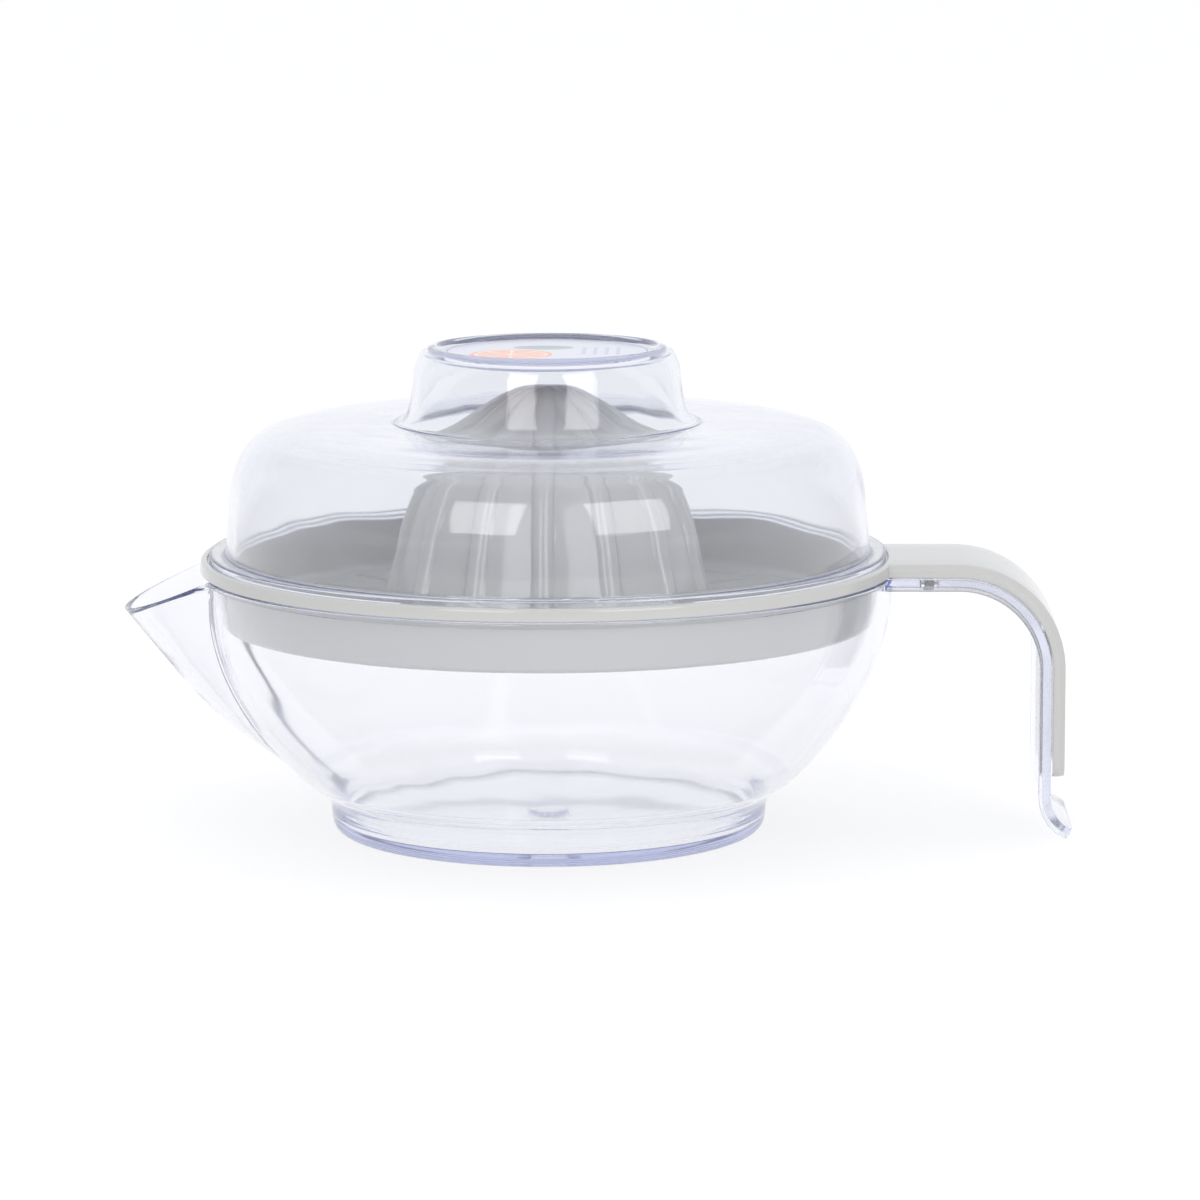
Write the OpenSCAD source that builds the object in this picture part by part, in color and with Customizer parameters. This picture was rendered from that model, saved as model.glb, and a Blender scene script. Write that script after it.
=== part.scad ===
// Hand citrus press: a clear pouring jug, a strainer tray moulded in one
// with its ribbed reamer and handle cover, and a clear domed lid.
// Units are millimetres. +Z is up, the jug's axis is Z and the table is z = 0.
// The spout points along -X and the handle along +X.

/* [Jug] */
// Outer radius of the bowl at its rim
bowl_r = 79.6; // [76:0.2:84]
// Height of the bowl's top edge above the table
bowl_h = 60.6; // [56:0.2:64]
// Wall thickness of the clear mouldings
wall = 2; // [1.6:0.1:2.6]
// Outer radius of the foot ring
foot_r = 50.5; // [46:0.5:54]
// Height of the bowl's inside floor
floor_z = 2.6; // [2.2:0.2:4]
// How far the bowl's flange stands out from its wall
flange = 0.6; // [0.3:0.1:1]

/* [Spout] */
// Radius of the spout's rounded outline at the lip
spout_r = 22; // [18:0.5:25]
// Distance from the axis to the spout's tip
spout_reach = 98.8; // [94:0.2:104]
// Height of the spout's tip
spout_z = 51.6; // [48:0.2:54]

/* [Handle] */
// Width of the handle strap and of its cover
handle_w = 36; // [28:1:44]
// Thickness of the clear strap
strap_t = 2.8; // [2.2:0.1:3.4]
// Thickness of the opaque cover
cover_t = 2.9; // [2.2:0.1:3.4]
// Inside radius of the strap's bend
bend_r = 18.4; // [14:0.2:22]
// Distance from the axis to the inner face of the strap's leg
leg_x = 113; // [106:1:120]
// Height of the lower end of the cover
cover_end_z = 14.5; // [12:0.5:24]

/* [Tray] */
// Outer radius of the tray's rim
tray_r = 80.4; // [80.2:0.1:82]
// Depth of the tray's outer wall below its rim
tray_depth = 12; // [9:0.5:14]
// Number of radial drain slots in the strainer floor
drain_slots = 28; // [14:14:42]
// Width of one drain slot
drain_w = 1.9; // [1.2:0.1:2.6]

/* [Reamer] */
// Height of the reamer's tip above the table
reamer_h = 103.2; // [98:0.2:106]
// Number of ribs around the reamer
ribs = 14; // [10:2:18]
// Width of one rib
rib_w = 4.8; // [3:0.2:5]
// How far the ribs stand out from the cone
rib_h = 1.5; // [0.8:0.1:1.8]

/* [Lid] */
// Radius of the lid's wall where it leaves the flange
lid_r = 74.5; // [73:0.1:75.2]
// Height of the top of the lid's raised centre
lid_top = 112.3; // [111:0.1:116]
// Radius of the round label on the lid
label_r = 24.2; // [18:0.2:24.6]

/* [Hidden] */
$fn = 96;

// Clearance between two mouldings that rest on each other
gap = 0.3;

// ---- curve helpers ------------------------------------------------------
// One point on a Catmull-Rom curve between b and c
function cr(a, b, c, d, t) = 0.5 * (2 * b + (c - a) * t
    + (2 * a - 5 * b + 4 * c - d) * t * t
    + (3 * b - a - 3 * c + d) * t * t * t);
// A smooth curve through the points P, n steps to each span
function curve(P, n) = [
    for (i = [0 : len(P) - 2]) for (j = [0 : n - 1])
        cr(P[max(i - 1, 0)], P[i], P[i + 1], P[min(i + 2, len(P) - 1)], j / n),
    P[len(P) - 1]];
function unit(v) = v / norm(v);
// The same curve moved sideways by d, to its left when walked forwards
function beside(P, d) = [
    for (i = [0 : len(P) - 1])
        let (t = unit(P[min(i + 1, len(P) - 1)] - P[max(i - 1, 0)]))
            P[i] + d * [-t[1], t[0]]];
function flip(P) = [for (i = [len(P) - 1 : -1 : 0]) P[i]];

// ---- jug ----------------------------------------------------------------
// The bowl's side is a superellipse that is upright at its widest height
side_z0 = 55;
side_drop = 65.5;
function bowl_side(z) = bowl_r * sqrt(1 - pow(max(side_z0 - z, 0) / side_drop, 1.7));
side_steps = 22;
bowl_out = [for (i = [0 : side_steps])
    let (z = 12.2 + (side_z0 - 12.2) * i / side_steps) [bowl_side(z), z]];
bowl_in = flip(beside(bowl_out, wall));

module bowl_body() {
    rotate_extrude() polygon(concat(
        [[0, 0], [foot_r - 2.3, 0], [foot_r - 1.3, 0.35], [foot_r - 0.5, 1.2], [foot_r - 0.05, 2.6], [foot_r + 0.1, 4.6],
         [foot_r + 0.25, 6.2], [foot_r + 0.75, 7.4], [foot_r + 1.9, 8.8], [foot_r + 3.8, 10.4]],
        bowl_out,
        [[bowl_r, bowl_h - 1.6], [bowl_r + flange, bowl_h - 1.3],
         [bowl_r + flange, bowl_h - 0.3], [bowl_r + flange - 0.3, bowl_h], [0, bowl_h]]));
}

module bowl_cavity() {
    rotate_extrude() polygon(concat(
        [[0, bowl_h + 20], [bowl_r - wall, bowl_h + 20], [bowl_r - wall, side_z0]],
        [for (p = bowl_in) if (p[1] > 13.2 && p[1] < side_z0) p],
        [[foot_r + 2.35, 11.9], [foot_r + 0.5, 10.1], [foot_r - 0.9, 8.5], [foot_r - 1.7, 7],
         [foot_r - 2, 5.4], [foot_r - 2.4, floor_z + 1.3], [foot_r - 3.6, floor_z + 0.4], [foot_r - 5.5, floor_z], [0, floor_z]]));
}

module foot_recess() {
    rotate_extrude() polygon([[0, -1], [foot_r - 5, -1], [foot_r - 5, 0.2], [foot_r - 5.6, 0.5], [0, 0.5]]);
}

// The spout's skin, s is how far it is drawn in from the outside
module spout_shape(s) {
    lift = s * 1.3;
    hull() {
        translate([-(spout_reach - spout_r) - 0.8 + s * 0.35, 0, bowl_h + (s > 0 ? 6 : 0)]) cylinder(h = 0.1, r = spout_r + 0.6 - s, $fn = 40);
        translate([-(spout_reach - spout_r) + s * 0.35, 0, spout_z]) cylinder(h = 0.1, r = spout_r - s, $fn = 40);
        translate([-62.7 + s * 0.3, 0, 26 + lift * 0.3]) cylinder(h = 0.1, r = 14 - s, $fn = 32);
        translate([-52.5, 0, 12.4 + lift]) cylinder(h = 0.1, r = 6 - s * 0.8, $fn = 32);
    }
}

// Everything above the spout's sloping lip, outside the bowl
module above_lip() {
    slope = atan((bowl_h - spout_z) / (spout_reach - bowl_r + 2.6));
    difference() {
        translate([-spout_reach, 0, spout_z]) rotate([0, -slope, 0])
            translate([-20, -40, 0]) cube([60, 80, 40]);
        translate([0, 0, -5]) cylinder(h = 120, r = bowl_r + flange);
    }
}

// ---- handle -------------------------------------------------------------
bend_x = leg_x - bend_r;
bend_z = bowl_h - strap_t - bend_r;
// Centre and radius of the outward curl at the foot of the strap
curl_r = 11.1;
curl_z = 10.3;

// Carries a cross-section, drawn as [height above the strap, across], from
// the rim along the top, round the bend and down the leg to height low
module along_handle(section, low) {
    translate([bend_x, 0, bend_z]) rotate([90, 0, 0]) rotate_extrude(angle = 90)
        polygon([for (p = section) [bend_r + p[0], p[1]]]);
    translate([bend_x, 0, bend_z + bend_r]) rotate([0, -90, 0])
        linear_extrude(height = bend_x - 74) polygon(section);
    translate([leg_x, 0, low]) linear_extrude(height = bend_z - low) polygon(section);
}

strap_section = let (w = handle_w / 2) [[0, -w], [strap_t, -w], [strap_t, w], [0, w],
    [0, w - 2], [1, w - 2.4], [1, -w + 2.4], [0, -w + 2]];

cover_lo = strap_t + gap + 0.1;
cover_section = let (w = handle_w / 2, h = cover_lo + cover_t) [
    [cover_lo, -w], [cover_lo + 1.4, -w], [h - 0.2, -w + 1.3], [h, -w + 2], [h, w - 2], [h - 0.2, w - 1.3],
    [cover_lo + 1.4, w], [cover_lo, w], [cover_lo, w - 1.8], [cover_lo + 1.2, w - 2],
    [cover_lo + 1.2, -w + 2], [cover_lo, -w + 1.8]];

module strap() {
    difference() {
        union() {
            along_handle(strap_section, curl_z);
            translate([leg_x + curl_r, 0, curl_z]) rotate([90, 0, 0]) rotate([0, 0, 180])
                rotate_extrude(angle = 68) polygon([for (p = strap_section) [curl_r - p[0], p[1]]]);
        }
        // window that takes the tray's locating peg
        translate([85.8, -3.2, bowl_h - 5]) cube([4.5, 6.4, 8]);
    }
}

module jug() {
    color([0.93, 0.94, 0.98, 0.4]) difference() {
        union() {
            bowl_body();
            difference() {
                spout_shape(0);
                above_lip();
                translate([0, 0, bowl_h]) cylinder(h = 40, r = 120);
            }
            strap();
        }
        bowl_cavity();
        spout_shape(wall * 0.9);
        foot_recess();
    }
    color([0.93, 0.94, 0.98, 0.4]) translate([0, 0, floor_z]) cylinder(h = 1, r1 = 4.6, r2 = 4.3);
}

// ---- tray, reamer and handle cover ---------------------------------------
tray_z = bowl_h + gap;
tray_floor = tray_z - tray_depth;
ledge_z = tray_z + 2.2;
floor_top = tray_floor + 2.3;

// Side of the cone between the ribs, from its foot to its tip
function cone_z(f) = floor_top + f * (reamer_h - floor_top);
cone_side = curve([[40.5, floor_top], [37.4, floor_top + 2.2], [36.4, floor_top + 6],
    [34.8, cone_z(0.23)], [32.8, cone_z(0.38)], [30.8, cone_z(0.49)], [28.6, cone_z(0.59)],
    [26, cone_z(0.69)], [22.4, cone_z(0.765)], [17.6, cone_z(0.835)], [12.6, cone_z(0.9)],
    [7, cone_z(0.955)], [2.4, reamer_h - 1.4], [0, reamer_h - 1.3]], 3);
cone_bore = flip([for (p = beside(cone_side, 1.8)) if (p[0] > 0.6 && p[1] > tray_floor + 2) p]);

module tray_bowl() {
    rotate_extrude() polygon([
        [0, tray_floor], [73.8, tray_floor], [74.8, tray_floor + 0.4], [75.4, tray_floor + 1.4],
        [77, tray_z - 0.4], [77.3, tray_z], [tray_r, tray_z],
        [tray_r, tray_z + 1], [tray_r - 0.2, tray_z + 1.9], [tray_r - 0.8, tray_z + 2.6],
        [tray_r - 1.3, tray_z + 2.9], [78.8, tray_z + 2.7], [78.7, ledge_z], [75.4, ledge_z],
        [74.9, ledge_z - 0.5], [73.3, floor_top + 1.8], [72.4, floor_top + 0.5], [71, floor_top],
        [0, floor_top]]);
}

// Outline of one rib: the cone's side moved outwards, backed into its wall
rib_top = [for (p = beside(cone_side, -rib_h)) if (p[0] > 11.4 && p[1] > floor_top + 0.2) p];
rib_back = flip([for (p = beside(cone_side, 0.9)) if (p[0] > 11.4 && p[1] > floor_top + 0.2) p]);

module cone() {
    rotate_extrude() polygon(concat([[0, tray_floor], [40.5, tray_floor]], cone_side));
    for (i = [0 : ribs - 1]) rotate([0, 0, (i + 0.5) * 360 / ribs]) rotate([90, 0, 0])
        linear_extrude(height = rib_w, center = true) polygon(concat(
            [[41.2, floor_top - 0.8], [41.2, floor_top + 0.2]], rib_top, rib_back,
            [[38, floor_top - 0.8]]));
    // the ribs run together into a rounded nose
    rotate_extrude() polygon([[0, reamer_h - 2.4], [2, reamer_h - 2.4], [13.4, cone_z(0.89) - 0.8],
        [13.4, cone_z(0.89)], [10, cone_z(0.952)], [6, reamer_h - 0.9], [3, reamer_h - 0.15], [1.2, reamer_h], [0, reamer_h]]);
}

module drains() {
    for (i = [0 : drain_slots - 1]) rotate([0, 0, (i + 0.5) * 360 / drain_slots])
        translate([44.5, -drain_w / 2, tray_floor - 5]) cube([24, drain_w, 12]);
}

module tray() {
    color([0.83, 0.84, 0.84]) {
        difference() {
            union() {
                tray_bowl();
                cone();
            }
            rotate_extrude() polygon(concat([[0, cone_bore[0][1]]], cone_bore,
                [[37.5, tray_floor - 1], [0, tray_floor - 1]]));
            drains();
        }
        difference() {
            along_handle(cover_section, cover_end_z);
            cylinder(h = 200, r = 79);
        }
        // locating peg under the cover
        translate([86.9, -2.2, bowl_h - 2.7]) cube([2.3, 4.4, 5]);
    }
}

// ---- lid ----------------------------------------------------------------
lid_z = ledge_z + gap;
lid_out = curve([[lid_r, lid_z + 1.6], [lid_r - 0.35, 70], [lid_r - 0.8, 75], [lid_r - 1.3, 80.4],
    [lid_r - 2.3, 84.4], [lid_r - 3.9, 87.8], [lid_r - 6.1, 90.6], [lid_r - 9.8, 92.9],
    [58, 94.5], [48, 94.9], [40, 94.7], [36, 94.6], [33.7, 95.1], [32.4, 96.7], [31.7, 99.4],
    [31.1, 103.1], [30.7, lid_top - 5.4], [30.2, lid_top - 3.5], [29.3, lid_top - 1.6], [28.3, lid_top - 0.7],
    [26.7, lid_top]], 3);
lid_in = flip(beside(lid_out, wall));
// The label's seat, in a shallow recess in the drum's top
label_z = lid_top - 1.4;

module lid() {
    color([0.93, 0.94, 0.98, 0.4]) rotate_extrude() polygon(concat(
        [[lid_r - wall, lid_z], [78.1, lid_z], [78.3, lid_z + 0.2], [78.3, lid_z + 1.3],
         [78, lid_z + 1.6], [lid_r + 0.4, lid_z + 1.6]],
        lid_out,
        [[25.4, lid_top - 0.3], [24.7, lid_top - 0.9], [24.5, label_z], [0, label_z],
         [0, label_z - wall], [24.2, label_z - wall], [25.9, label_z - wall + 0.3]],
        [for (p = lid_in) if (p[0] > 26.8) p]));
}

module lid_label() {
    color([0.9, 0.91, 0.95]) translate([0, 0, label_z]) cylinder(h = 0.2, r = label_r);
}

jug();
tray();
lid();
lid_label();
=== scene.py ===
import bpy, bmesh, math
import numpy as np
from mathutils import Vector, Matrix, Euler


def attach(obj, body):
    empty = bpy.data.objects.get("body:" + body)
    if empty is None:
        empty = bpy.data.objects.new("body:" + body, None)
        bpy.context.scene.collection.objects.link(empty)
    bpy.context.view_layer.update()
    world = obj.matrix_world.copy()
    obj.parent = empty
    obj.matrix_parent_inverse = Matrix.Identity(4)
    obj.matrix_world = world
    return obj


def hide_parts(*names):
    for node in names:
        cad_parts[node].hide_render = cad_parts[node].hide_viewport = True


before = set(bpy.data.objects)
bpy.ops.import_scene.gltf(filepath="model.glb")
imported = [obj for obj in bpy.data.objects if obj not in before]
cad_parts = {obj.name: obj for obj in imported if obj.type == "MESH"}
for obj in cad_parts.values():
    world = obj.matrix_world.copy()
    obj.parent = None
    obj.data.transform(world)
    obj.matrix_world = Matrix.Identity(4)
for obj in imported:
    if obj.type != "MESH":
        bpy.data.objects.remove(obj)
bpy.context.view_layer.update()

MM = 0.001

# ---------------------------------------------------------------- helpers
def make_mesh(name, verts, faces, mm=True):
    me = bpy.data.meshes.new(name)
    v = np.asarray(verts, float) * (MM if mm else 1.0)
    me.from_pydata([tuple(p) for p in v], [], [tuple(int(i) for i in f) for f in faces])
    me.validate()
    ob = bpy.data.objects.new(name, me)
    bpy.context.scene.collection.objects.link(ob)
    return ob


def grid_faces(rows, cols, wrap=True, start=0, flip=False):
    """Quads of a grid of rows rings with cols points each."""
    out = []
    for i in range(rows - 1):
        a = start + i * cols
        b = a + cols
        for j in range(cols if wrap else cols - 1):
            k = (j + 1) % cols
            q = (a + j, a + k, b + k, b + j)
            out.append(q[::-1] if flip else q)
    return out


def smooth(ob, angle=None):
    me = ob.data
    me.polygons.foreach_set("use_smooth", np.ones(len(me.polygons), bool))
    if angle is not None:
        me.set_sharp_from_angle(angle=math.radians(angle))
    me.update()


def outward(ob):
    bm = bmesh.new()
    bm.from_mesh(ob.data)
    bmesh.ops.recalc_face_normals(bm, faces=bm.faces)
    if bm.calc_volume(signed=True) < 0:
        bmesh.ops.reverse_faces(bm, faces=bm.faces)
    bm.to_mesh(ob.data)
    bm.free()
    ob.data.update()


def catmull(P, n):
    P = np.asarray(P, float)
    out = []
    for i in range(len(P) - 1):
        a, b, c, d = P[max(i - 1, 0)], P[i], P[i + 1], P[min(i + 2, len(P) - 1)]
        for t in np.arange(n) / n:
            out.append(0.5 * (2 * b + (c - a) * t + (2 * a - 5 * b + 4 * c - d) * t * t + (3 * b - a - 3 * c + d) * t ** 3))
    out.append(P[-1])
    return np.array(out)


def beside(P, d):
    """A curve moved sideways by d, to its left when walked forwards."""
    P = np.asarray(P, float)
    t = np.empty_like(P)
    t[1:-1] = P[2:] - P[:-2]
    t[0] = P[1] - P[0]
    t[-1] = P[-1] - P[-2]
    t /= np.linalg.norm(t, axis=1)[:, None] + 1e-12
    return P + d * np.c_[-t[:, 1], t[:, 0]]


def fillet_poly(P, radii, n=5):
    """An open polyline in the plane with its inner corners rounded; radii has one number per point."""
    P = np.asarray(P, float)
    out = [P[0]]
    for i in range(1, len(P) - 1):
        r = radii[i]
        a, b, c = P[i - 1], P[i], P[i + 1]
        u, v = a - b, c - b
        lu, lv = np.linalg.norm(u), np.linalg.norm(v)
        if r <= 0 or lu < 1e-9 or lv < 1e-9:
            out.append(b)
            continue
        u, v = u / lu, v / lv
        ang = math.acos(max(-1, min(1, float(u @ v))))
        if ang > math.pi - 0.02:
            out.append(b)
            continue
        d = min(r / math.tan(ang / 2), lu * 0.49, lv * 0.49)
        r = d * math.tan(ang / 2)
        cen = b + (u + v) / np.linalg.norm(u + v) * (r / math.sin(ang / 2))
        p0, p1 = b + u * d, b + v * d
        a0 = math.atan2(*(p0 - cen)[::-1])
        a1 = math.atan2(*(p1 - cen)[::-1])
        da = (a1 - a0 + math.pi) % (2 * math.pi) - math.pi
        for k in range(n + 1):
            t = a0 + da * k / n
            out.append(cen + r * np.array([math.cos(t), math.sin(t)]))
    out.append(P[-1])
    return np.array(out)


def resample(P, step):
    """The same curve with points no further apart than step."""
    P = np.asarray(P, float)
    out = [P[0]]
    for a, b in zip(P[:-1], P[1:]):
        d = np.linalg.norm(b - a)
        if d < 1e-9:
            continue
        n = max(1, int(math.ceil(d / step)))
        for k in range(1, n + 1):
            out.append(a + (b - a) * k / n)
    return np.array(out)


def lathe(name, prof, cols, mod=None):
    """A closed solid of revolution: prof runs from the axis to the axis, [r, z]."""
    prof = np.asarray(prof, float)
    prof = prof[np.r_[True, np.linalg.norm(np.diff(prof, axis=0), axis=1) > 1e-6]]
    body = prof[1:-1]
    ph = np.arange(cols) * 2 * math.pi / cols
    R = np.repeat(body[:, :1], cols, 1)
    Z = np.repeat(body[:, 1:], cols, 1)
    if mod is not None:
        R, Z = mod(R, Z, ph[None, :])
    V = np.stack([R * np.cos(ph), R * np.sin(ph), Z], -1).reshape(-1, 3)
    n = len(V)
    V = np.vstack([V, [[0, 0, prof[0, 1]], [0, 0, prof[-1, 1]]]])
    F = grid_faces(len(body), cols)
    last = (len(body) - 1) * cols
    for j in range(cols):
        k = (j + 1) % cols
        F.append((n, k, j))
        F.append((n + 1, last + j, last + k))
    ob = make_mesh(name, V, F)
    outward(ob)
    return ob


def boolean(ob, other, op):
    m = ob.modifiers.new("b", "BOOLEAN")
    m.operation = op
    m.object = other
    m.solver = "MANIFOLD"
    dg = bpy.context.evaluated_depsgraph_get()
    me = bpy.data.meshes.new_from_object(ob.evaluated_get(dg))
    ob.modifiers.clear()
    old = ob.data
    ob.data = me
    bpy.data.meshes.remove(old)
    bpy.data.objects.remove(other)
    bm = bmesh.new()
    bm.from_mesh(ob.data)
    bmesh.ops.remove_doubles(bm, verts=bm.verts, dist=2e-6)
    bmesh.ops.dissolve_degenerate(bm, edges=bm.edges, dist=2e-6)
    bm.to_mesh(ob.data)
    bm.free()
    return ob


def smax(a, b, k):
    """Smooth maximum of a and b, which rounds the valley where they cross over about k."""
    h = np.clip(0.5 + 0.5 * (a - b) / k, 0, 1)
    return b + (a - b) * h + k * h * (1 - h)


def sstep(x, a, b):
    t = np.clip((x - a) / (b - a), 0, 1)
    return t * t * (3 - 2 * t)


# ---------------------------------------------------------------- sizes, mm
BOWL_R, BOWL_H, WALL, FOOT_R, FLOOR = 79.6, 60.6, 2.0, 50.5, 2.6
SP_R, SP_REACH, SP_Z = 22.0, 98.8, 51.6
W, ST, CT, BR, LEG_X, CEND = 36.0, 2.8, 2.9, 18.4, 113.0, 14.5
GAP = 0.3
TR, TZ = 80.4, BOWL_H + 0.3
TF = TZ - 12
FT = TF + 2.3
LEDGE = TZ + 2.2
RH, RIBS, RIB_H = 103.2, 14, 1.5
LR, LZ, LTOP = 74.5, LEDGE + 0.3, 112.3
LABEL_Z = LTOP - 1.4
BX, BZ = LEG_X - BR, BOWL_H - ST - BR
COVER_LO = ST + GAP + 0.1


# ---------------------------------------------------------------- the strap and cover sweeps
def path_frames(low, top_x, step=1.6, curl=None):
    """Points on the strap's underside in the X-Z plane with their outward normals, from the rim to the leg's end."""
    pts, nrm = [], []
    for x in np.linspace(top_x, BX, max(3, int((BX - top_x) / step))):
        pts.append((x, BZ + BR)); nrm.append((0.0, 1.0))
    for t in np.linspace(90, 0, 49)[1:]:
        a = math.radians(t)
        pts.append((BX + BR * math.cos(a), BZ + BR * math.sin(a))); nrm.append((math.cos(a), math.sin(a)))
    for z in np.linspace(BZ, low, max(3, int((BZ - low) / step)))[1:]:
        pts.append((LEG_X, z)); nrm.append((1.0, 0.0))
    if curl:
        r, zc, sweep = curl
        for t in np.linspace(180, 180 + sweep, 37)[1:]:
            a = math.radians(t)
            pts.append((LEG_X + r + r * math.cos(a), zc + r * math.sin(a)))
            nrm.append((-math.cos(a), -math.sin(a)))
    return np.array(pts), np.array(nrm)


def sweep(name, section, pts, nrm, widen=None):
    """A closed solid: the closed outline section ([height, across]) carried along the path. widen gives, for each
    path point, a factor on the across coordinate, which rounds off the strip's end in plan."""
    section = np.asarray(section, float)
    n, m = len(pts), len(section)
    V = np.zeros((n, m, 3))
    for i in range(n):
        k = 1.0 if widen is None else widen[i]
        V[i, :, 0] = pts[i, 0] + nrm[i, 0] * section[:, 0]
        V[i, :, 2] = pts[i, 1] + nrm[i, 1] * section[:, 0]
        V[i, :, 1] = section[:, 1] * k
    F = grid_faces(n, m)
    F.append(tuple(range(m)))
    F.append(tuple(range((n - 1) * m, n * m))[::-1])
    ob = make_mesh(name, V.reshape(-1, 3), F)
    bm = bmesh.new()
    bm.from_mesh(ob.data)
    bmesh.ops.triangulate(bm, faces=[f for f in bm.faces if len(f.verts) > 4])
    bm.to_mesh(ob.data)
    bm.free()
    outward(ob)
    return ob


def closed_section(P, radii, n=4):
    """A closed outline with rounded corners."""
    P = np.asarray(P, float)
    k = len(P)
    Q = [P[-1]] + list(P) + [P[0]]
    out = fillet_poly(Q, [0] + list(radii) + [0], n)
    return out[1:-1]


def end_rounding(pts, r, back=None):
    """Factors that round the last corners of a strip in plan with radius r."""
    s = np.r_[0, np.cumsum(np.linalg.norm(np.diff(pts, axis=0), axis=1))]
    rest = s[-1] - s
    k = np.ones(len(pts))
    for i, d in enumerate(rest):
        if d < r:
            k[i] = (W / 2 - r + math.sqrt(max(r * r - (r - d) ** 2, 0))) / (W / 2)
    return k


def refine_end(pts, nrm, r, steps=12):
    """More points within r of the path's end, closer together towards the end."""
    s = np.r_[0, np.cumsum(np.linalg.norm(np.diff(pts, axis=0), axis=1))]
    keep = s < s[-1] - r
    extra = s[-1] - r * (1 - np.sin(np.linspace(0, math.pi / 2, steps)))
    want = np.r_[s[keep], extra]
    q = np.c_[np.interp(want, s, pts[:, 0]), np.interp(want, s, pts[:, 1])]
    m = np.c_[np.interp(want, s, nrm[:, 0]), np.interp(want, s, nrm[:, 1])]
    return q, m / np.linalg.norm(m, axis=1)[:, None]


# ---------------------------------------------------------------- jug
def bowl_side(z):
    return BOWL_R * np.sqrt(1 - (np.maximum(55.0 - z, 0) / 65.5) ** 1.7)


# the spout's outline at each height: how far its nose reaches, and the radius of its round section
SPZ = np.array([10.0, 12.4, 16.0, 21.0, 26.0, 34.0, 43.0, 52.0, 61.0])
SPN = np.array([55.6, 58.5, 63.2, 70.2, 76.7, 84.3, 91.6, 98.8, 106.0])
SPR = np.array([4.5, 6.0, 8.6, 11.8, 14.0, 17.0, 19.8, 22.0, 23.6])


def spout_r(z, al, inset):
    """Distance from the axis to the spout's skin at height z, al radians off the spout's centre line."""
    nose = np.interp(z, SPZ, SPN) - inset * 1.3
    rad = np.maximum(np.interp(z, SPZ, SPR) - inset, 0.5)
    c = nose - rad
    s = c * np.abs(np.sin(al))
    inside = s < rad
    root = np.sqrt(np.maximum(rad ** 2 - s ** 2, 0))
    over = np.maximum(s - rad, 0)
    r = c * np.cos(al) + np.where(inside, root, -np.sqrt(over * 2 + 1e-9) * 3)
    return np.where(np.cos(al) > 0.2, r, 0.0)


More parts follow.
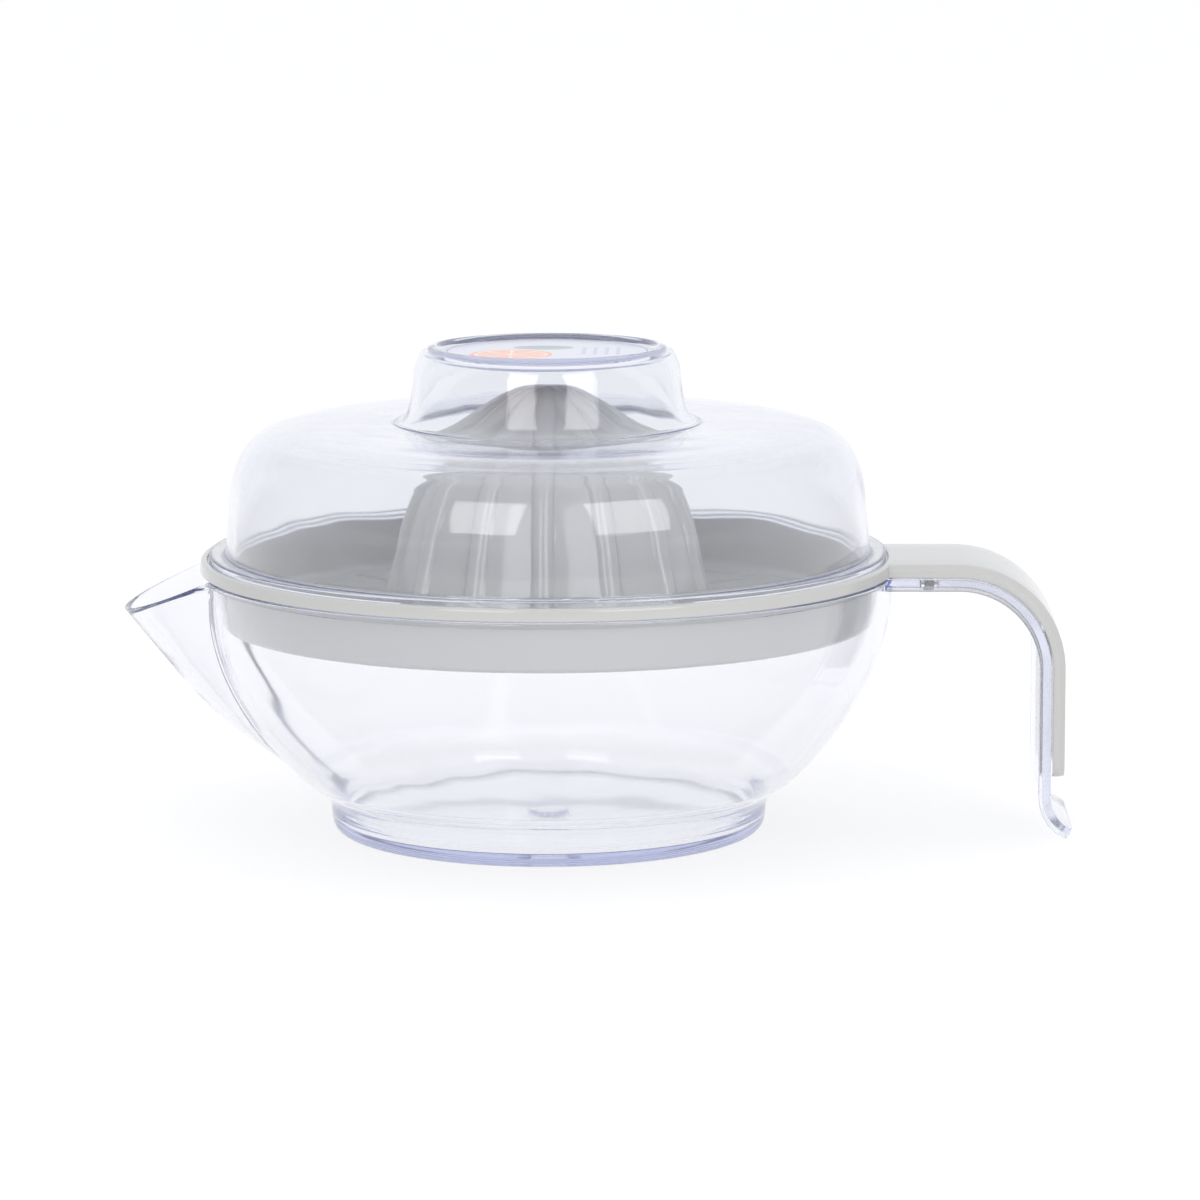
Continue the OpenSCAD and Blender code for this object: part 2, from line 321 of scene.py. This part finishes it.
def build_jug():
    # columns: dense across the spout
    near = np.radians(np.linspace(-20, 20, 341))
    far = np.radians(np.linspace(20, 340, 186))[1:-1]
    al = np.r_[near, far]                     # angle from the spout's centre line
    cols = len(al)
    ph = al + math.pi
    alw = (al + math.pi) % (2 * math.pi) - math.pi
    alw = alw[None, :]

    slope = (BOWL_H - SP_Z) / (SP_REACH - BOWL_R + 2.6)
    # height of the top edge in each direction, found by stepping
    ztop = np.full(cols, BOWL_H)
    for _ in range(40):
        r = spout_r(ztop, alw[0], 0.0)
        x = r * np.cos(alw[0])
        zl = SP_Z + (SP_REACH - x) * slope
        ztop = np.where(r > BOWL_R - 2.4, np.minimum(BOWL_H, 0.5 * ztop + 0.5 * zl), BOWL_H)
    in_spout = sstep(spout_r(ztop, alw[0], 0.0) - BOWL_R, 0.2, 2.2)[None, :]
    zt = ztop[None, :]

    def blend_k(z):
        return np.interp(z, [8, 14, 30, 50, 60], [2.2, 3.4, 3.0, 1.6, 0.9])

    def outer(z):
        return smax(bowl_side(z) + 0 * alw, spout_r(z, alw, 0.0), blend_k(z))

    def inner(z):
        zz = np.minimum(z, 55.0)
        e = 0.05
        dr = (bowl_side(zz + e) - bowl_side(zz - e)) / (2 * e)
        # the wall's inside, square to the bowl's side
        rin = bowl_side(zz) - WALL * np.sqrt(1 + dr ** 2)
        # the spout's wall thins towards its lip
        thin = 1.8 - 0.65 * sstep(z - zt, -26.0, -0.2)
        return smax(rin + 0 * alw, spout_r(z, alw, thin), blend_k(z) * 0.8)

    rows_r, rows_z = [], []

    def ring(r, z):
        rows_r.append(np.broadcast_to(r, (1, cols)).copy())
        rows_z.append(np.broadcast_to(z, (1, cols)).copy())

    # underside of the floor, from the middle out: a shallow recess and the standing ring
    for r, z in [(2, 0.5), (6, 0.5), (12, 0.5), (18, 0.5), (24, 0.5), (30, 0.5), (36, 0.5), (41, 0.5), (44.4, 0.5), (44.9, 0.48), (45.25, 0.4),
                 (45.45, 0.24), (45.6, 0.08), (45.9, 0.0), (46.8, 0.0), (47.9, 0.0), (48.5, 0.06), (49.1, 0.28), (49.6, 0.68), (49.95, 1.2), (50.2, 1.8)]:
        ring(r, z)
    # outside of the foot, then the waist under the bowl
    low = 12.2
    foot = catmull([(50.32, 2.2), (50.42, 2.8), (50.55, 4.0), (50.65, 5.2), (50.8, 6.3), (51.25, 7.4),
                    (52.4, 8.8), (54.3, 10.4), (bowl_side(low), low)], 4)
    for r, z in foot[:-1]:
        k = sstep(z, 7.5, low)
        o = outer(np.full((1, cols), low))
        ring(r + (o - bowl_side(low)) * k, z)
    # side of the bowl and the spout, up to the lip
    n_side = 78
    top_gap = 1.5
    for i in range(n_side):
        t = i / (n_side - 1)
        z = low + (zt - top_gap - low) * t
        o = outer(z)
        ring(o, z)
    # rim: a flange that stands 0.6 out round the bowl, a plain rounded edge on the spout
    o = outer(zt - top_gap)
    fl = 0.6 * (1 - in_spout)
    top_o = outer(zt)
    h = 0.5
    sp = in_spout
    for dz, df, k, th in [(1.32, 0.0, 0.1, None), (1.26, 0.25, 0.2, None), (1.18, 0.6, 0.25, None), (1.05, 0.92, 0.3, None), (0.85, 1.0, 0.4, None),
                          (0.45, 1.0, 0.6, 0), (0.25, 0.94, 0.8, 28), (0.1, 0.72, 0.9, 50), (0.02, 0.4, 1.0, 68)]:
        base = o * (1 - k) + top_o * k
        t = math.radians(th or 0)
        zs = zt - (h - h * math.sin(t) if th is not None else h + (dz - 0.85) * 1.4 + 0.14)
        rs = outer(zs) - (h * (1 - math.cos(t)) if th is not None else 0)
        ring((base + fl * df) * (1 - sp) + rs * sp, (zt - dz) * (1 - sp) + zs * sp)
    tin = inner(zt)
    thick = top_o - tin
    for f, th in ((0.32, 80), (0.5, 90), (0.68, 100)):
        mid = 0.5 * (outer(zt) + inner(zt))
        ring((top_o - thick * f) * (1 - sp) + (mid + h * math.cos(math.radians(th))) * sp, zt - (h - h * math.sin(math.radians(th))) * sp)
    for dz, f, th in [(0.03, 0.84, 112), (0.14, 0.94, 130), (0.32, 0.985, 152), (0.6, 1.0, 180)]:
        t = math.radians(th)
        zs = zt - (h - h * math.sin(t)) - (0.1 if th == 180 else 0)
        rs = inner(zs) + h * (1 + math.cos(t))
        ring((top_o * (1 - f) + f * inner(zt - dz)) * (1 - sp) + rs * sp, (zt - dz) * (1 - sp) + zs * sp)
    # inside, down to the floor
    first_in = len(rows_r)
    n_in = 66
    zlow = 13.2
    for i in range(1, n_in):
        t = i / (n_in - 1)
        z = (zt - 0.6) + (zlow - (zt - 0.6)) * t
        ring(inner(z), z)
    r_low = inner(np.full((1, cols), zlow))
    rr = float(np.median(r_low))
    well = catmull([(rr, zlow), (52.85, 11.0), (51.0, 9.3), (49.6, 7.9), (48.85, 6.6), (48.5, 5.2), (47.95, 3.9), (46.7, 3.0), (44.8, FLOOR + 0.05), (42.5, FLOOR)], 4)
    for r, z in well[1:]:
        ring(r + (r_low - rr) * max(0, (z - FLOOR) / (zlow - FLOOR)) ** 1.5, z)
    for r, z in [(36, FLOOR), (30, FLOOR), (24, FLOOR), (18, FLOOR), (12, FLOOR), (7, FLOOR), (5.2, FLOOR), (4.8, FLOOR + 0.04),
                 (4.6, FLOOR + 0.2), (4.5, FLOOR + 0.5), (4.42, FLOOR + 0.8), (4.25, FLOOR + 0.95), (4.0, FLOOR + 1.0), (2, FLOOR + 1.0)]:
        ring(r, z)
    R = np.vstack(rows_r)
    Z = np.vstack(rows_z)
    # slow waves in the moulding, well under a tenth of a millimetre, that bend what shows through
    wob = 0.02 * np.sin(5 * ph[None, :] + 0.31 * Z) + 0.014 * np.sin(11 * ph[None, :] - 0.23 * Z + 1.3) + 0.009 * np.sin(23 * ph[None, :] + 0.5 * Z)
    mask = (np.arange(len(R)) > first_in)[:, None] * sstep(Z, 14, 20) * (1 - sstep(Z, 50, 56))
    R = R + wob * mask
    V = np.stack([R * np.cos(ph), R * np.sin(ph), Z], -1)
    n = V.shape[0] * cols
    P = V.reshape(-1, 3)
    P = np.vstack([P, [[0, 0, rows_z[0][0, 0]], [0, 0, FLOOR + 1.0]]])
    F = grid_faces(len(R), cols)
    last = (len(R) - 1) * cols
    for j in range(cols):
        k = (j + 1) % cols
        F.append((n, k, j))
        F.append((n + 1, last + j, last + k))
    ob = make_mesh("jug_shell", P, F)
    outward(ob)

    # handle strap: a web with a rail down each edge, its end curled outwards
    pts, nrm = path_frames(10.3, 70.0, curl=(11.1, 10.3, 68))
    pts, nrm = refine_end(pts, nrm, 3.0)
    w = W / 2
    sec = closed_section([(0, -w), (ST, -w), (ST, w), (0, w), (0, w - 2.2), (1.0, w - 2.7), (1.0, -w + 2.7), (0, -w + 2.2)],
                         [0.5, 0.35, 0.35, 0.5, 0.4, 0.5, 0.5, 0.4])
    strap = sweep("strap", sec, pts, nrm, end_rounding(pts, 3.0))
    # keep the strap out of the bowl's inside
    bpy.ops.mesh.primitive_cylinder_add(vertices=256, radius=(BOWL_R - 0.9) * MM, depth=0.2, location=(0, 0, 0.05))
    boolean(strap, bpy.context.object, "DIFFERENCE")
    # window for the tray's locating peg
    win = closed_section([(85.8, -3.2), (90.3, -3.2), (90.3, 3.2), (85.8, 3.2)], [0.6] * 4)
    vv = [(p[0], p[1], z) for z in (50, 70) for p in win]
    m = len(win)
    wf = grid_faces(2, m) + [tuple(range(m)), tuple(range(m, 2 * m))[::-1]]
    peg_hole = make_mesh("win", vv, wf)
    outward(peg_hole)
    boolean(strap, peg_hole, "DIFFERENCE")
    boolean(ob, strap, "UNION")
    smooth(ob, 38)
    ob.name = "jug_clear"
    return ob


# ---------------------------------------------------------------- tray
def cone_z(f):
    return FT + f * (RH - FT)


CONE = [(40.5, FT), (37.4, FT + 2.2), (36.4, FT + 6), (34.8, cone_z(0.23)), (32.8, cone_z(0.38)), (30.8, cone_z(0.49)),
        (28.6, cone_z(0.59)), (26, cone_z(0.69)), (22.4, cone_z(0.765)), (17.6, cone_z(0.835)), (12.6, cone_z(0.9)),
        (7, cone_z(0.955)), (2.4, RH - 1.4), (0, RH - 1.3)]


def build_tray():
    cols = 14 * 44
    ph = (np.arange(cols) + 0.5) * 2 * math.pi / cols
    side = catmull(CONE, 9)
    nrm = (beside(side, -1.0) - side)
    nrm[-1] = (0, 1)
    # ribs: rounded ridges of even width that run together at the tip
    rib_ph = (np.arange(RIBS) + 0.5) * 2 * math.pi / RIBS
    d = np.abs((ph[:, None] - rib_ph[None, :] + math.pi) % (2 * math.pi) - math.pi).min(1)

    def rib(R, s):
        across = np.maximum(R, 0.05)[:, None] * np.sin(np.minimum(d, math.pi / 2))[None, :]
        half = 2.5
        x = np.clip(across / half, 0, 1.25)
        # round-backed ridge with a short soft root
        h = np.where(x < 1.0, np.maximum(1 - x ** 2, 0) ** 0.7, 0.0)
        h = np.maximum(h, 0)
        foot = sstep(s, 0.0, 4.0)[:, None]
        return h * RIB_H * foot

    s = np.r_[0, np.cumsum(np.linalg.norm(np.diff(side, axis=0), axis=1))]
    H = rib(side[:, 0], s)
    R = side[:, :1] + nrm[:, :1] * H
    Z = side[:, 1:] + nrm[:, 1:] * H
    R = np.maximum(R, 0.0)
    rows = [(R[i], Z[i]) for i in range(len(side) - 1)]
    rows = rows[::-1]                        # from the tip down
    tip_z = RH

    def ring(r, z):
        rows.append((np.full(cols, float(r)), np.full(cols, float(z))))

    # strainer floor, trough wall, ledge and rim
    up = fillet_poly([(40.5, FT), (73.2, FT), (74.9, LEDGE), (78.7, LEDGE), (78.75, TZ + 2.95), (TR - 0.2, TZ + 2.95), (TR, TZ),
                      (77.1, TZ), (75.3, TF), (37.2, TF)], [0, 2.2, 0.5, 0.25, 0.25, 1.9, 0.3, 0.35, 1.6, 0], 8)
    for p in resample(up, 3.0)[1:]:
        ring(*p)
    # the reamer's hollow underside
    bore = beside(side, 1.8)
    bore = bore[(bore[:, 0] > 1.0) & (bore[:, 1] > TF + 1.2)]
    for p in bore[::3]:
        ring(*p)
    inner_tip = bore[-1, 1]
    R = np.array([r for r, z in rows])
    Z = np.array([z for r, z in rows])
    V = np.stack([R * np.cos(ph), R * np.sin(ph), Z], -1)
    n = V.shape[0] * cols
    P = np.vstack([V.reshape(-1, 3), [[0, 0, tip_z], [0, 0, inner_tip]]])
    F = grid_faces(len(R), cols)
    last = (len(R) - 1) * cols
    for j in range(cols):
        k = (j + 1) % cols
        F.append((n, k, j))
        F.append((n + 1, last + j, last + k))
    ob = make_mesh("tray_body", P, F)
    outward(ob)

    # drain slots with round ends
    vv, ff = [], []
    for i in range(28):
        a = (i + 0.5) * 2 * math.pi / 28
        c, sn = math.cos(a), math.sin(a)
        hw = 0.95
        prof = [(68.5 - hw + hw * math.cos(t), hw * math.sin(t)) for t in np.linspace(-math.pi / 2, math.pi / 2, 9)] + \
               [(44.5 + hw + hw * math.cos(t), hw * math.sin(t)) for t in np.linspace(math.pi / 2, 3 * math.pi / 2, 9)]
        base, m = len(vv), len(prof)
        for z in (TF - 3, FT + 3):
            vv += [(x * c - y * sn, x * sn + y * c, z) for x, y in prof]
        ff += grid_faces(2, m, start=base)
        ff += [tuple(range(base, base + m)), tuple(range(base + m, base + 2 * m))[::-1]]
    cut = make_mesh("cut", vv, ff)
    outward(cut)
    boolean(ob, cut, "DIFFERENCE")

    # handle cover: a shallow channel with a bevel along each side
    pts, nr = path_frames(CEND, 70.0)
    pts, nr = refine_end(pts, nr, 3.0)
    w, h0, h1 = W / 2, COVER_LO, COVER_LO + CT
    sec = closed_section([(h0, -w), (h0 + 1.35, -w), (h1 - 0.1, -w + 1.5), (h1, w * -0.5), (h1, w * 0.5), (h1 - 0.1, w - 1.5),
                          (h0 + 1.35, w), (h0, w), (h0, w - 1.8), (h0 + 1.2, w - 2.1), (h0 + 1.2, -w + 2.1), (h0, -w + 1.8)],
                         [0.25, 0.3, 0.5, 0, 0, 0.5, 0.3, 0.25, 0.3, 0.4, 0.4, 0.3])
    cover = sweep("cover", sec, pts, nr, end_rounding(pts, 3.0))
    bpy.ops.mesh.primitive_cylinder_add(vertices=256, radius=79.2 * MM, depth=0.3, location=(0, 0, 0.05))
    boolean(cover, bpy.context.object, "DIFFERENCE")
    boolean(ob, cover, "UNION")
    # locating peg
    pg = closed_section([(86.9, -2.2), (89.2, -2.2), (89.2, 2.2), (86.9, 2.2)], [0.4] * 4)
    m = len(pg)
    vv = [(p[0], p[1], z) for z in (BOWL_H - 2.7, BOWL_H + 2.2) for p in pg]
    peg = make_mesh("peg", vv, grid_faces(2, m) + [tuple(range(m)), tuple(range(m, 2 * m))[::-1]])
    outward(peg)
    boolean(ob, peg, "UNION")
    smooth(ob, 32)
    ob.name = "tray_grey"
    return ob


# ---------------------------------------------------------------- lid
LID = [(LR, LZ + 1.6), (LR - 0.35, 70), (LR - 0.8, 75), (LR - 1.3, 80.4), (LR - 2.3, 84.4), (LR - 3.9, 87.8), (LR - 6.1, 90.6),
       (LR - 9.8, 92.9), (58, 94.5), (48, 94.9), (40, 94.7), (37.2, 94.65), (36.0, 94.72), (35.4, 95.0), (34.7, 95.1), (33.6, 95.4), (32.5, 96.8), (31.7, 99.4), (31.1, 103.1),
       (30.7, LTOP - 5.4), (30.2, LTOP - 3.5), (29.3, LTOP - 1.6), (28.3, LTOP - 0.7), (26.7, LTOP)]


def build_lid():
    out = catmull(LID, 12)
    inn = beside(out, WALL)[::-1]
    inn = inn[(inn[:, 1] > LZ + 1.2) & (inn[:, 0] > 26.8)]
    lo = LABEL_Z - WALL
    head = np.vstack([[[0, lo]], [[8, lo], [16, lo], [21, lo]], catmull([(23.4, lo), (24.6, lo + 0.06), (25.9, lo + 0.45), tuple(inn[0])], 4)[:-1]])
    flange = fillet_poly([(0, LZ + 3), (LR - WALL, LZ), (78.3, LZ), (78.3, LZ + 1.6), (LR, LZ + 1.6), (LR, LZ + 5)],
                         [0, 0.35, 0.35, 0.35, 0.5, 0], 5)[1:-1]
    brim = catmull([tuple(out[-1]), (25.95, LTOP - 0.12), (25.3, LTOP - 0.5), (24.8, LTOP - 0.98), (24.5, LABEL_Z + 0.1), (24.25, LABEL_Z)], 10)[1:]
    prof = np.vstack([head, inn, resample(flange, 1.0), out[1:], brim, [[20, LABEL_Z], [12, LABEL_Z], [5, LABEL_Z]], [[0, LABEL_Z]]])
    n0, n1 = len(head) + 14, len(head) + len(inn) - 6

    def mod(R, Z, p):
        w = 0.02 * np.sin(4 * p + 0.2 * Z) + 0.013 * np.sin(9 * p - 0.35 * Z + 0.7) + 0.008 * np.sin(19 * p + 0.6 * Z)
        i = np.arange(len(R))
        edge = np.clip(np.minimum((i - n0) / 8.0, (n1 - i) / 8.0), 0, 1)
        return R + w * edge[:, None], Z
    ob = lathe("lid_clear", prof, 320, mod)
    smooth(ob, 50)
    return ob


# ---------------------------------------------------------------- label
def build_label():
    r, z0, t = 24.2, LABEL_Z + 0.02, 0.17
    prof = [(0, z0), (8, z0), (16, z0), (r - 0.2, z0), (r, z0 + 0.06), (r, z0 + 0.14), (r - 0.08, z0 + t), (18, z0 + t), (10, z0 + t), (4, z0 + t), (0, z0 + t)]
    ob = lathe("label_disc", prof, 128)
    smooth(ob, 30)
    return ob


# ---------------------------------------------------------------- materials
class Nodes:
    def __init__(self, name):
        self.m = bpy.data.materials.new(name)
        self.m.use_nodes = True
        self.t = self.m.node_tree
        self.t.nodes.clear()
        self.out = self.t.nodes.new("ShaderNodeOutputMaterial")

    def n(self, kind, **kw):
        node = self.t.nodes.new(kind)
        for k, v in kw.items():
            setattr(node, k, v)
        return node

    def link(self, a, b):
        self.t.links.new(a, b)

    def _in(self, sock, v):
        if hasattr(v, "links"):
            self.link(v, sock)
        else:
            sock.default_value = v

    def math(self, op, a, b=0.0, c=0.0, clamp=False):
        m = self.n("ShaderNodeMath", operation=op, use_clamp=clamp)
        self._in(m.inputs[0], a)
        self._in(m.inputs[1], b)
        self._in(m.inputs[2], c)
        return m.outputs[0]

    def mix(self, fac, a, b):
        m = self.n("ShaderNodeMix", data_type="RGBA")
        self._in(m.inputs[0], fac)
        self._in(m.inputs[6], a)
        self._in(m.inputs[7], b)
        return m.outputs[2]

    def step(self, x, a, b):
        """0 below a, 1 above b, smooth between."""
        m = self.n("ShaderNodeMapRange", interpolation_type="SMOOTHSTEP")
        self._in(m.inputs[0], x)
        m.inputs[1].default_value, m.inputs[2].default_value = a, b
        m.inputs[3].default_value, m.inputs[4].default_value = 0.0, 1.0
        return m.outputs[0]

    def noise(self, vec, scale, detail=3.0, rough=0.5):
        t = self.n("ShaderNodeTexNoise")
        self.link(vec, t.inputs["Vector"])
        t.inputs["Scale"].default_value = scale
        t.inputs["Detail"].default_value = detail
        t.inputs["Roughness"].default_value = rough
        return t.outputs[0]

    def bump(self, height, strength, dist):
        b = self.n("ShaderNodeBump")
        b.inputs["Strength"].default_value = strength
        b.inputs["Distance"].default_value = dist
        self.link(height, b.inputs["Height"])
        return b.outputs[0]


def clear_plastic(name, base=(0.985, 0.988, 1.0), tint=(0.82, 0.835, 0.92), density=38.0, wave=0.08):
    k = Nodes(name)
    co = k.n("ShaderNodeTexCoord").outputs["Object"]
    p = k.n("ShaderNodeBsdfPrincipled")
    p.inputs["Base Color"].default_value = (*base, 1)
    p.inputs["Transmission Weight"].default_value = 1.0
    p.inputs["IOR"].default_value = 1.49
    rough = k.math("MULTIPLY_ADD", k.noise(co, 90, 2), 0.03, 0.03)
    # rougher on the handle strap only, a choice of look: at the bowl's roughness its curled end renders a dark block
    sep = k.n("ShaderNodeSeparateXYZ")
    k.link(co, sep.inputs[0])
    rough = k.math("MULTIPLY_ADD", k.step(sep.outputs[0], 0.086, 0.094), 0.13, rough)
    k.link(rough, p.inputs["Roughness"])
    # slow waves of the moulding
    slow = k.noise(co, 42, 1.5, 0.4)
    k.link(k.bump(slow, wave, 0.0009), p.inputs["Normal"])
    tr = k.n("ShaderNodeBsdfTransparent")
    tr.inputs["Color"].default_value = (0.965, 0.97, 0.985, 1)
    lp = k.n("ShaderNodeLightPath")
    fac = k.math("MAXIMUM", lp.outputs["Is Shadow Ray"], lp.outputs["Is Diffuse Ray"])
    mx = k.n("ShaderNodeMixShader")
    k.link(fac, mx.inputs[0])
    k.link(p.outputs[0], mx.inputs[1])
    k.link(tr.outputs[0], mx.inputs[2])
    k.link(mx.outputs[0], k.out.inputs["Surface"])
    ab = k.n("ShaderNodeVolumeAbsorption")
    ab.inputs["Color"].default_value = (*tint, 1)
    ab.inputs["Density"].default_value = density
    k.link(ab.outputs[0], k.out.inputs["Volume"])
    return k.m


def grey_plastic():
    k = Nodes("warm_grey_plastic")
    co = k.n("ShaderNodeTexCoord").outputs["Object"]
    p = k.n("ShaderNodeBsdfPrincipled")
    big = k.noise(co, 14, 2)
    col = k.mix(big, (0.452, 0.452, 0.437, 1), (0.475, 0.475, 0.46, 1))
    k.link(col, p.inputs["Base Color"])
    k.link(k.math("MULTIPLY_ADD", k.noise(co, 260, 3), 0.05, 0.1), p.inputs["Roughness"])
    p.inputs["IOR"].default_value = 1.5
    p.inputs["Coat Weight"].default_value = 0.15
    p.inputs["Coat Roughness"].default_value = 0.04
    k.link(p.outputs[0], k.out.inputs["Surface"])
    return k.m


def label_material():
    k = Nodes("label_print")
    sep = k.n("ShaderNodeSeparateXYZ")
    co = k.n("ShaderNodeTexCoord").outputs["Object"]
    k.link(co, sep.inputs[0])
    x, y = k.math("MULTIPLY", sep.outputs[0], 1000.0), k.math("MULTIPLY", sep.outputs[1], 1000.0)
    base = (0.70, 0.715, 0.785, 1)

    def dist(cx, cy):
        dx, dy = k.math("SUBTRACT", x, cx), k.math("SUBTRACT", y, cy)
        return k.math("SQRT", k.math("ADD", k.math("MULTIPLY", dx, dx), k.math("MULTIPLY", dy, dy))), dx, dy

    d0, _, _ = dist(0, 0)
    ring = k.math("MULTIPLY", k.step(d0, 22.9, 23.0), k.step(k.math("MULTIPLY", d0, -1.0), -23.3, -23.2))
    col = k.mix(ring, base, (0.30, 0.33, 0.50, 1))
    # a plain fruit slice
    d1, dx, dy = dist(-8.0, -7.5)
    disc = k.step(k.math("MULTIPLY", d1, -1.0), -9.6, -9.4)
    col = k.mix(disc, col, (0.86, 0.42, 0.30, 1))
    pith = k.math("MULTIPLY", disc, k.step(k.math("MULTIPLY", d1, -1.0), -8.6, -8.4))
    col = k.mix(pith, col, (0.90, 0.74, 0.68, 1))
    ang = k.math("ARCTAN2", dy, dx)
    wedge = k.math("ABSOLUTE", k.math("SINE", k.math("MULTIPLY", ang, 4.0)))
    seg = k.math("MULTIPLY", k.math("MULTIPLY", k.step(wedge, 0.22, 0.3), k.step(d1, 1.2, 1.5)), k.step(k.math("MULTIPLY", d1, -1.0), -8.0, -7.8))
    col = k.mix(k.math("MULTIPLY", seg, disc), col, (0.87, 0.50, 0.38, 1))
    # a leaf beside it
    lx, ly = k.math("SUBTRACT", x, -1.0), k.math("SUBTRACT", y, 6.5)
    leaf = k.math("ADD", k.math("MULTIPLY", k.math("MULTIPLY", lx, lx), 0.02), k.math("MULTIPLY", k.math("MULTIPLY", ly, ly), 0.06))
    col = k.mix(k.step(k.math("MULTIPLY", leaf, -1.0), -1.0, -0.94), col, (0.40, 0.46, 0.47, 1))
    # plain bars
    bars = k.math("MULTIPLY", k.step(k.math("SINE", k.math("MULTIPLY", x, 2.4)), 0.35, 0.5),
                  k.math("MULTIPLY", k.math("MULTIPLY", k.step(x, 7.9, 8.0), k.step(k.math("MULTIPLY", x, -1.0), -17.0, -16.9)),
                         k.step(k.math("MULTIPLY", k.math("ABSOLUTE", y), -1.0), -7.1, -7.0)))
    col = k.mix(k.math("MULTIPLY", bars, 0.6), col, (0.46, 0.48, 0.66, 1))
    p = k.n("ShaderNodeBsdfPrincipled")
    k.link(col, p.inputs["Base Color"])
    k.link(k.math("MULTIPLY_ADD", k.noise(co, 900, 2), 0.12, 0.26), p.inputs["Roughness"])
    k.link(k.bump(k.noise(co, 700, 2), 0.05, 0.0002), p.inputs["Normal"])
    k.link(p.outputs[0], k.out.inputs["Surface"])
    return k.m


def floor_material():
    k = Nodes("pale_floor")
    co = k.n("ShaderNodeTexCoord").outputs["Object"]
    p = k.n("ShaderNodeBsdfPrincipled")
    col = k.mix(k.noise(co, 3, 2), (0.32, 0.32, 0.325, 1), (0.33, 0.33, 0.335, 1))
    k.link(col, p.inputs["Base Color"])
    p.inputs["Roughness"].default_value = 0.9
    p.inputs["Specular IOR Level"].default_value = 0.1
    p.inputs["Emission Color"].default_value = (1.0, 1.0, 1.0, 1)
    p.inputs["Emission Strength"].default_value = 0.68
    k.link(p.outputs[0], k.out.inputs["Surface"])
    return k.m


# ---------------------------------------------------------------- build the pieces
jug = build_jug()
jug.data.materials.clear(); jug.data.materials.append(clear_plastic("clear_jug_plastic"))
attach(jug, "jug"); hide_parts("jug")

tray = build_tray()
tray.data.materials.clear(); tray.data.materials.append(grey_plastic())
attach(tray, "tray"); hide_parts("tray")

lid = build_lid()
lid.data.materials.clear(); lid.data.materials.append(clear_plastic("clear_lid_plastic", base=(0.935, 0.942, 0.962), wave=0.1))
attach(lid, "lid"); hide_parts("lid")

label = build_label()
label.data.materials.clear(); label.data.materials.append(label_material())
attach(label, "lid"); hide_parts("lid_label")

# ---------------------------------------------------------------- floor, light, camera
bpy.ops.mesh.primitive_circle_add(vertices=96, radius=9.0, fill_type="NGON", location=(0, 0, -0.0002))
floor = bpy.context.object
floor.name = "floor"
floor.data.materials.append(floor_material())

world = bpy.data.worlds.new("studio")
bpy.context.scene.world = world
world.use_nodes = True
wt = world.node_tree
wt.nodes.clear()
wo = wt.nodes.new("ShaderNodeOutputWorld")
bg = wt.nodes.new("ShaderNodeBackground")
tc = wt.nodes.new("ShaderNodeTexCoord")
sp = wt.nodes.new("ShaderNodeSeparateXYZ")
mr = wt.nodes.new("ShaderNodeMapRange")
mr.interpolation_type = "SMOOTHSTEP"
mr.inputs[1].default_value, mr.inputs[2].default_value = -0.9, 0.25
ramp = wt.nodes.new("ShaderNodeMix")
ramp.data_type = "RGBA"
ramp.inputs[6].default_value = (0.60, 0.605, 0.635, 1)
ramp.inputs[7].default_value = (1.0, 1.008, 1.04, 1)
wt.links.new(tc.outputs["Generated"], sp.inputs[0])
wt.links.new(sp.outputs[1], mr.inputs[0])
wt.links.new(mr.outputs[0], ramp.inputs[0])
wt.links.new(ramp.outputs[2], bg.inputs[0])
bg.inputs[1].default_value = 1.0
wt.links.new(bg.outputs[0], wo.inputs[0])


def softbox(name, az, el, dist, w, h, radiance, colour=(1, 1, 1)):
    """A rectangular soft light, az degrees to the right of the camera's side and el up, aimed at the press."""
    L = bpy.data.lights.new(name, "AREA")
    L.shape = "RECTANGLE"
    L.size, L.size_y = w, h
    L.energy = radiance * math.pi * w * h
    L.color = colour
    ob = bpy.data.objects.new(name, L)
    bpy.context.scene.collection.objects.link(ob)
    a, e = math.radians(az), math.radians(el)
    target = Vector((0, 0, 0.07))
    ob.location = target + Vector((math.sin(a) * math.cos(e), -math.cos(a) * math.cos(e), math.sin(e))) * dist
    ob.rotation_euler = (ob.location - target).to_track_quat("Z", "Y").to_euler()
    return ob


softbox("softbox_left", -20.5, 21, 1.5, 0.64, 0.95, 3.1)
softbox("softbox_right", 32, 21, 1.5, 0.72, 0.95, 3.1)
softbox("top_fill", 0, 88, 1.8, 1.6, 1.6, 0.3)

AZ = 2.0
D, CH = 1.2, 0.2465
PITCH, YAW, ROLL = 9.164, 0.575, 0.135
LENS = 36.0 * 5239.0 / 1200.0
cam = bpy.data.cameras.new("camera")
cam.sensor_width = 36.0
cam.lens = LENS
cam.clip_start, cam.clip_end = 0.05, 60
cob = bpy.data.objects.new("camera", cam)
bpy.context.scene.collection.objects.link(cob)
az = math.radians(AZ)
cob.location = (D * math.sin(az), -D * math.cos(az), CH)
R = Matrix.Rotation(az - math.radians(YAW), 4, "Z") @ Matrix.Rotation(math.radians(90 - PITCH), 4, "X") @ Matrix.Rotation(math.radians(-ROLL), 4, "Z")
cob.rotation_euler = R.to_euler()
bpy.context.scene.camera = cob

sc = bpy.context.scene
sc.view_settings.view_transform = "Standard"
sc.view_settings.look = "None"
sc.cycles.max_bounces = 72
sc.cycles.transmission_bounces = 64
sc.cycles.glossy_bounces = 64
sc.cycles.diffuse_bounces = 4
sc.cycles.transparent_max_bounces = 16
sc.cycles.sample_clamp_indirect = 6.0
